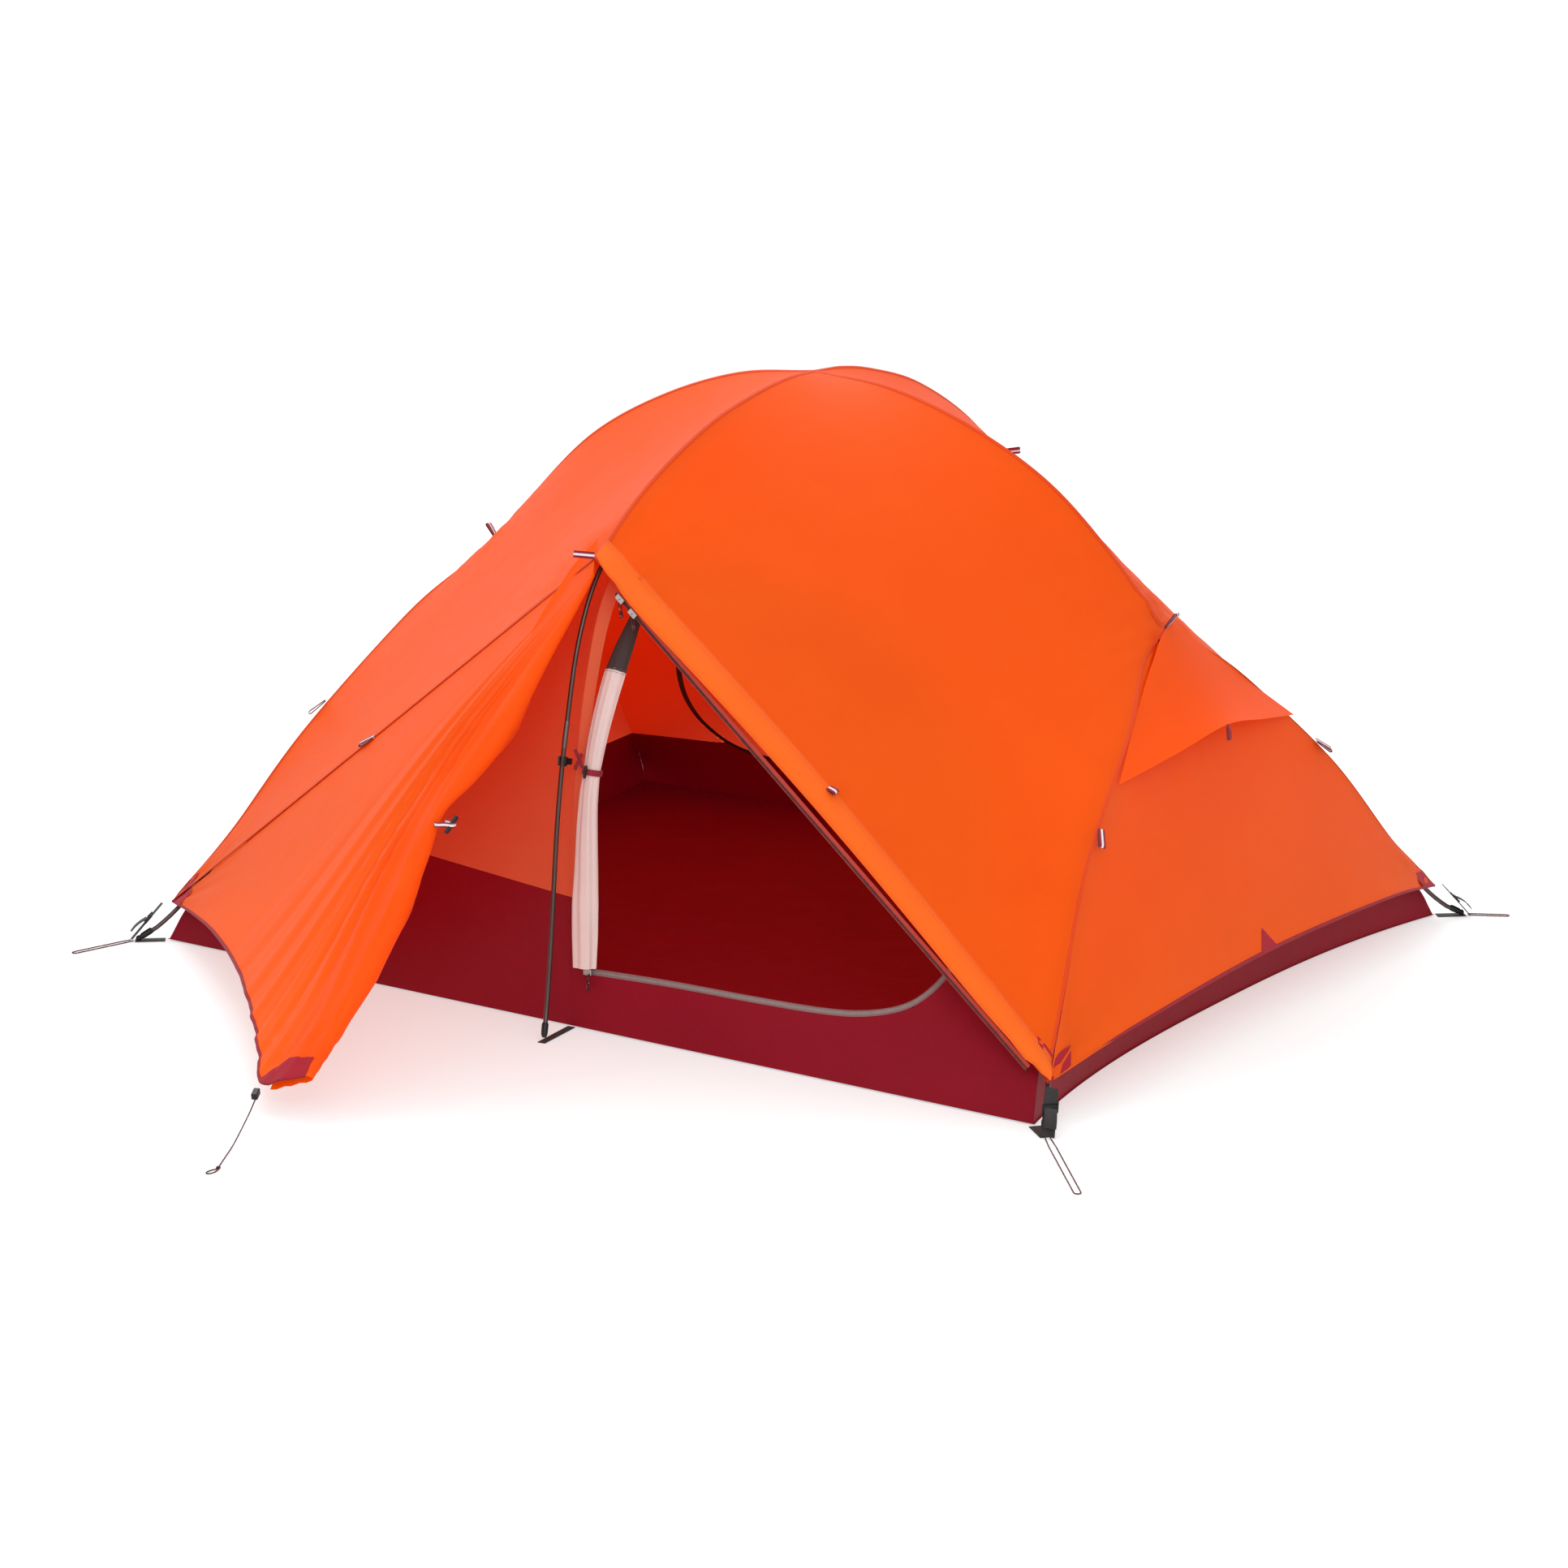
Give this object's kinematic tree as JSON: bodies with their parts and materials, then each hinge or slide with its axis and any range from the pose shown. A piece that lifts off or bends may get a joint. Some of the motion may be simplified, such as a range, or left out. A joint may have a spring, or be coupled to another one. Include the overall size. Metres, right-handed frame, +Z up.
{
  "type": "dome tent",
  "caption": "Pitched dome tent on crossing poles with two hubs: inner tent with tub floor, orange fly, near vestibule door tied back, far vestibule zipped.",
  "frame": {"origin": "middle of the floor sheet's underside, on the ground", "axes": "+X along the tent's long side, -Y out of the near door, +Z up"},
  "size_m": [2.4815, 3.5006, 1.2046],
  "materials": {
    "pole_alloy": "dark brown-grey anodised tube, satin",
    "black_plastic": "moulded, fine grain",
    "webbing": "dark grey woven webbing",
    "tub_cloth": "coated crimson ripstop nylon",
    "canopy_cloth": "breathable salmon-orange nylon",
    "door_cloth": "pale translucent nylon, rolled",
    "red_trim": "dark red tape",
    "zip": "coil zip on tape",
    "fly_cloth": "silicone-coated orange ripstop nylon, slight sheen",
    "cord": "dark red guy line with reflective flecks"
  },
  "bodies": {
    "root": {"ridge_pole": "pole_alloy", "cross_pole": "pole_alloy", "leg_pole_near_right": "pole_alloy", "leg_pole_near_left": "pole_alloy", "leg_pole_far_right": "pole_alloy", "leg_pole_far_left": "pole_alloy", "hub_left": "black_plastic", "hub_right": "black_plastic", "floor_strap_near_right": "webbing", "floor_strap_near_left": "webbing", "floor_strap_far_right": "webbing", "floor_strap_far_left": "webbing", "foot_strap_near": "webbing", "foot_strap_far": "webbing", "floor": "tub_cloth", "tub_near_right": "tub_cloth", "tub_near_left": "tub_cloth", "tub_far_right": "tub_cloth", "tub_far_left": "tub_cloth", "tub_end_left": "tub_cloth", "tub_end_right": "tub_cloth", "canopy_near_right": "canopy_cloth", "canopy_near_left": "canopy_cloth", "canopy_far_right": "canopy_cloth", "canopy_far_left": "canopy_cloth", "canopy_end_left": "canopy_cloth", "canopy_end_right": "canopy_cloth", "inner_door_far": "canopy_cloth", "inner_door_near": "door_cloth", "door_tie": "red_trim", "inner_zip_near": "zip", "inner_zip_far": "zip", "cord_corner_left": "cord", "cord_corner_right": "cord", "cord_corner_far": "cord"},
    "fly": {"fly_near_right": "fly_cloth", "fly_near_left": "fly_cloth", "fly_far_right": "fly_cloth", "fly_far_left": "fly_cloth", "fly_end_left": "fly_cloth", "fly_end_right": "fly_cloth", "vestibule_near": "fly_cloth", "vestibule_far": "fly_cloth", "fly_zip_near": "zip", "cord_vestibule": "cord", "fly_strap_near_right": "webbing", "fly_strap_near_left": "webbing", "fly_strap_far_right": "webbing", "fly_strap_far_left": "webbing"},
    "vent_right": {"vent_hood_right": "fly_cloth"},
    "vent_left": {"vent_hood_left": "fly_cloth"},
    "fly_zip_upper": {"fly_slider_upper": "black_plastic"},
    "fly_zip_lower": {"fly_slider_lower": "black_plastic"},
    "toggle": {"door_toggle": "black_plastic"},
    "line_lock": {"cord_lock": "black_plastic"},
    "inner_zip_pull_near": {"inner_slider_near": "black_plastic"},
    "inner_zip_pull_far": {"inner_slider_far": "black_plastic"},
    "clip_near": {"pole_clip_near": "black_plastic"},
    "clip_far": {"pole_clip_far": "black_plastic"}
  },
  "joints": [
    {"name": "fly_lift_off", "type": "slide", "parent": "root", "child": "fly", "axis": [0, 0, 1], "range_m": [0, 0.3]},
    {"name": "vent_right_close", "type": "hinge", "parent": "fly", "child": "vent_right", "pos_m": [0.862, 0, 0.764], "axis": [0, 1, 0], "range_deg": [0, 5]},
    {"name": "vent_left_open", "type": "hinge", "parent": "fly", "child": "vent_left", "pos_m": [-0.862, 0, 0.764], "axis": [0, 1, 0], "range_deg": [0, 12]},
    {"name": "fly_zip_upper_slide", "type": "slide", "parent": "fly", "child": "fly_zip_upper", "axis": [0.7839, -0.0459, -0.6191], "range_m": [0, 0.018]},
    {"name": "fly_zip_lower_slide", "type": "slide", "parent": "fly", "child": "fly_zip_lower", "axis": [0.7839, -0.0459, -0.6191], "range_m": [0, 1.15]},
    {"name": "toggle_turn", "type": "hinge", "parent": "fly", "child": "toggle", "pos_m": [-0.0072, -1.21736, 0.4856], "axis": [1, 0, 0], "range_deg": [-60, 60]},
    {"name": "line_lock_slide", "type": "slide", "parent": "fly", "child": "line_lock", "axis": [0.4438, -0.8653, -0.233], "range_m": [0, 0.045]},
    {"name": "inner_zip_near_slide", "type": "slide", "parent": "root", "child": "inner_zip_pull_near", "axis": [0.9962, 0.0871, 0.0049], "range_m": [0, 0.25]},
    {"name": "inner_zip_far_slide", "type": "slide", "parent": "root", "child": "inner_zip_pull_far", "axis": [-0.9962, -0.0871, 0.0049], "range_m": [0, 0.25]},
    {"name": "clip_near_turn", "type": "hinge", "parent": "root", "child": "clip_near", "pos_m": [0, -0.87954, 0.54253], "axis": [0, 0.1803, 0.9836], "range_deg": [-20, 20]},
    {"name": "clip_far_turn", "type": "hinge", "parent": "root", "child": "clip_far", "pos_m": [0, 0.87954, 0.54253], "axis": [0, -0.1803, 0.9836], "range_deg": [-20, 20]}
  ]
}
